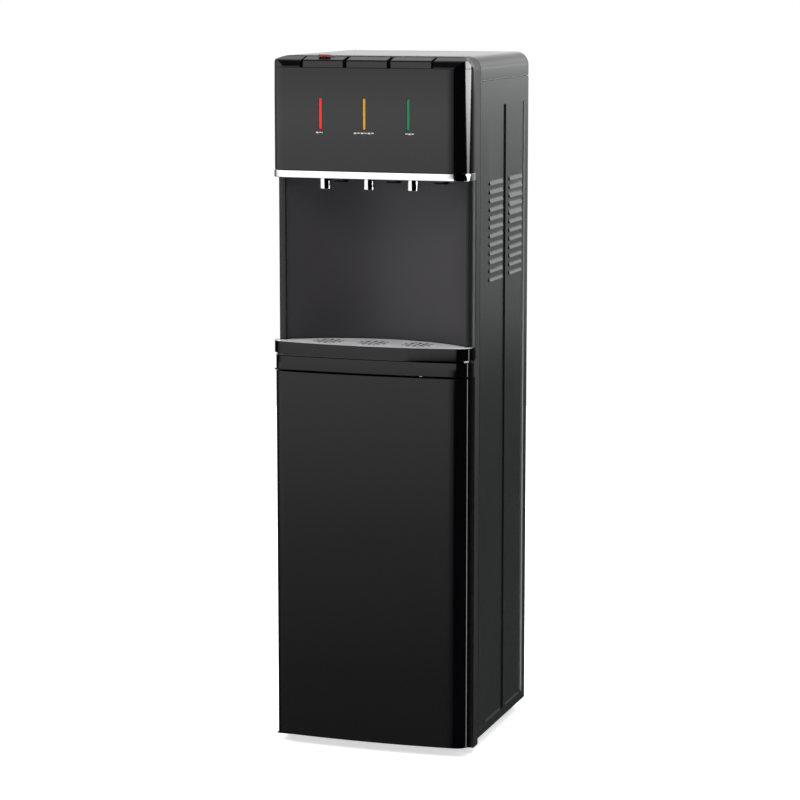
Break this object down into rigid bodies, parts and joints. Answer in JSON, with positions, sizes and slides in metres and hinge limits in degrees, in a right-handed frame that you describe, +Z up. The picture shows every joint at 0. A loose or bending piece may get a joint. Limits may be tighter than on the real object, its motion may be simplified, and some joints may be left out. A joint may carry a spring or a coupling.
{
  "type": "floor-standing bottled water dispenser",
  "caption": "Tall slim water dispenser with push buttons over a hollow cup niche, bowed drip tray and a hinged lower door that hides the bottle.",
  "frame": {"origin": "middle of the footprint, on the floor", "axes": "+Z up, -Y out of the front, +X to the right as seen from the front"},
  "size_m": [0.315, 0.3754, 1.0488],
  "materials": {
    "cabinet_steel": "satin black powder coat",
    "frame_plastic": "satin black",
    "gloss_black": "high gloss",
    "dark_plastic": "fine grain",
    "grey_plastic": "fine grain",
    "chrome_plate": "polished",
    "red_plastic": "gloss",
    "green_plastic": "gloss",
    "red_lens": "translucent",
    "amber_lens": "translucent",
    "green_lens": "translucent",
    "circuit_board": "solder mask",
    "zinc_steel": "zinc plated",
    "stainless": "brushed",
    "enamel_black": "gloss enamel",
    "foam": "moulded foam",
    "white_plastic": "gloss",
    "silicone": "translucent silicone",
    "black_rubber": "matt",
    "copper_pipe": "drawn copper"
  },
  "bodies": {
    "cabinet": {"base_pan": "dark_plastic", "feet": "black_rubber", "lower_frame": "frame_plastic", "upper_frame": "frame_plastic", "left_side_panel": "cabinet_steel", "right_side_panel": "cabinet_steel", "back_panel": "cabinet_steel", "top_cover": "frame_plastic", "machine_shelves": "zinc_steel", "niche_panel": "gloss_black", "band_panel": "gloss_black", "tap_plate": "dark_plastic", "chrome_trim": "chrome_plate", "control_fascia": "gloss_black", "button_deck": "gloss_black", "hot_lamp": "red_lens", "low_water_lamp": "amber_lens", "cold_lamp": "green_lens", "circuit_boards": "circuit_board", "hot_spring": "stainless", "room_spring": "stainless", "cold_spring": "stainless", "tap_valves": "grey_plastic", "hot_nozzle": "chrome_plate", "room_nozzle": "chrome_plate", "cold_nozzle": "chrome_plate", "magnetic_catch": "dark_plastic", "lower_hinge": "zinc_steel", "upper_hinge": "zinc_steel", "compressor": "enamel_black", "compressor_grommets": "black_rubber", "hot_tank": "stainless", "hot_tank_jacket": "foam", "cold_tank": "stainless", "cold_tank_jacket": "foam", "water_pump": "grey_plastic", "bottle_probe": "white_plastic", "water_hoses": "silicone", "refrigerant_pipes": "copper_pipe", "condenser_tube": "enamel_black", "condenser_wires": "enamel_black", "switch_bezels": "dark_plastic", "cord_gland": "black_rubber", "drain_spout": "white_plastic", "back_screws": "zinc_steel"},
    "door": {"door_shell": "gloss_black", "door_liner": "grey_plastic", "strike_plate": "zinc_steel"},
    "hot_button": {"hot_button": "gloss_black", "hot_push_rod": "white_plastic"},
    "room_button": {"room_button": "gloss_black", "room_push_rod": "white_plastic"},
    "cold_button": {"cold_button": "gloss_black", "cold_push_rod": "white_plastic"},
    "child_lock": {"child_lock": "red_plastic"},
    "drip_tray": {"drip_tray": "gloss_black"},
    "drip_grille": {"drip_grille": "chrome_plate"},
    "heat_rocker": {"heat_rocker": "red_plastic"},
    "cool_rocker": {"cool_rocker": "green_plastic"},
    "drain_cap": {"drain_cap": "dark_plastic"}
  },
  "joints": [
    {"name": "door_hinge", "type": "hinge", "parent": "cabinet", "child": "door", "pos_m": [-0.145, -0.15925, 0.3], "axis": [0, 0, -1], "range_deg": [0, 115]},
    {"name": "hot_press", "type": "slide", "parent": "cabinet", "child": "hot_button", "axis": [0, 0, -1], "range_m": [0, 0.004], "stiffness_N_per_m": 250, "springref_m": -0.004, "deforming": ["hot_spring"]},
    {"name": "room_press", "type": "slide", "parent": "cabinet", "child": "room_button", "axis": [0, 0, -1], "range_m": [0, 0.004], "stiffness_N_per_m": 250, "springref_m": -0.004, "deforming": ["room_spring"]},
    {"name": "cold_press", "type": "slide", "parent": "cabinet", "child": "cold_button", "axis": [0, 0, -1], "range_m": [0, 0.004], "stiffness_N_per_m": 250, "springref_m": -0.004, "deforming": ["cold_spring"]},
    {"name": "child_lock_slide", "type": "slide", "parent": "hot_button", "child": "child_lock", "axis": [1, 0, 0], "range_m": [0, 0.006], "stiffness_N_per_m": 60, "springref_m": -0.004},
    {"name": "tray_pull", "type": "slide", "parent": "cabinet", "child": "drip_tray", "axis": [0, -1, 0], "range_m": [0, 0.09]},
    {"name": "grille_lift", "type": "slide", "parent": "drip_tray", "child": "drip_grille", "axis": [0, 0, 1], "range_m": [0, 0.06]},
    {"name": "heat_switch", "type": "hinge", "parent": "cabinet", "child": "heat_rocker", "pos_m": [-0.1, 0.14075, 0.9603], "axis": [-1, 0, 0], "range_deg": [0, 16]},
    {"name": "cool_switch", "type": "hinge", "parent": "cabinet", "child": "cool_rocker", "pos_m": [-0.1, 0.14075, 0.9183], "axis": [-1, 0, 0], "range_deg": [0, 16]},
    {"name": "drain_cap_off", "type": "slide", "parent": "cabinet", "child": "drain_cap", "axis": [0, 1, 0], "range_m": [0, 0.03]}
  ]
}
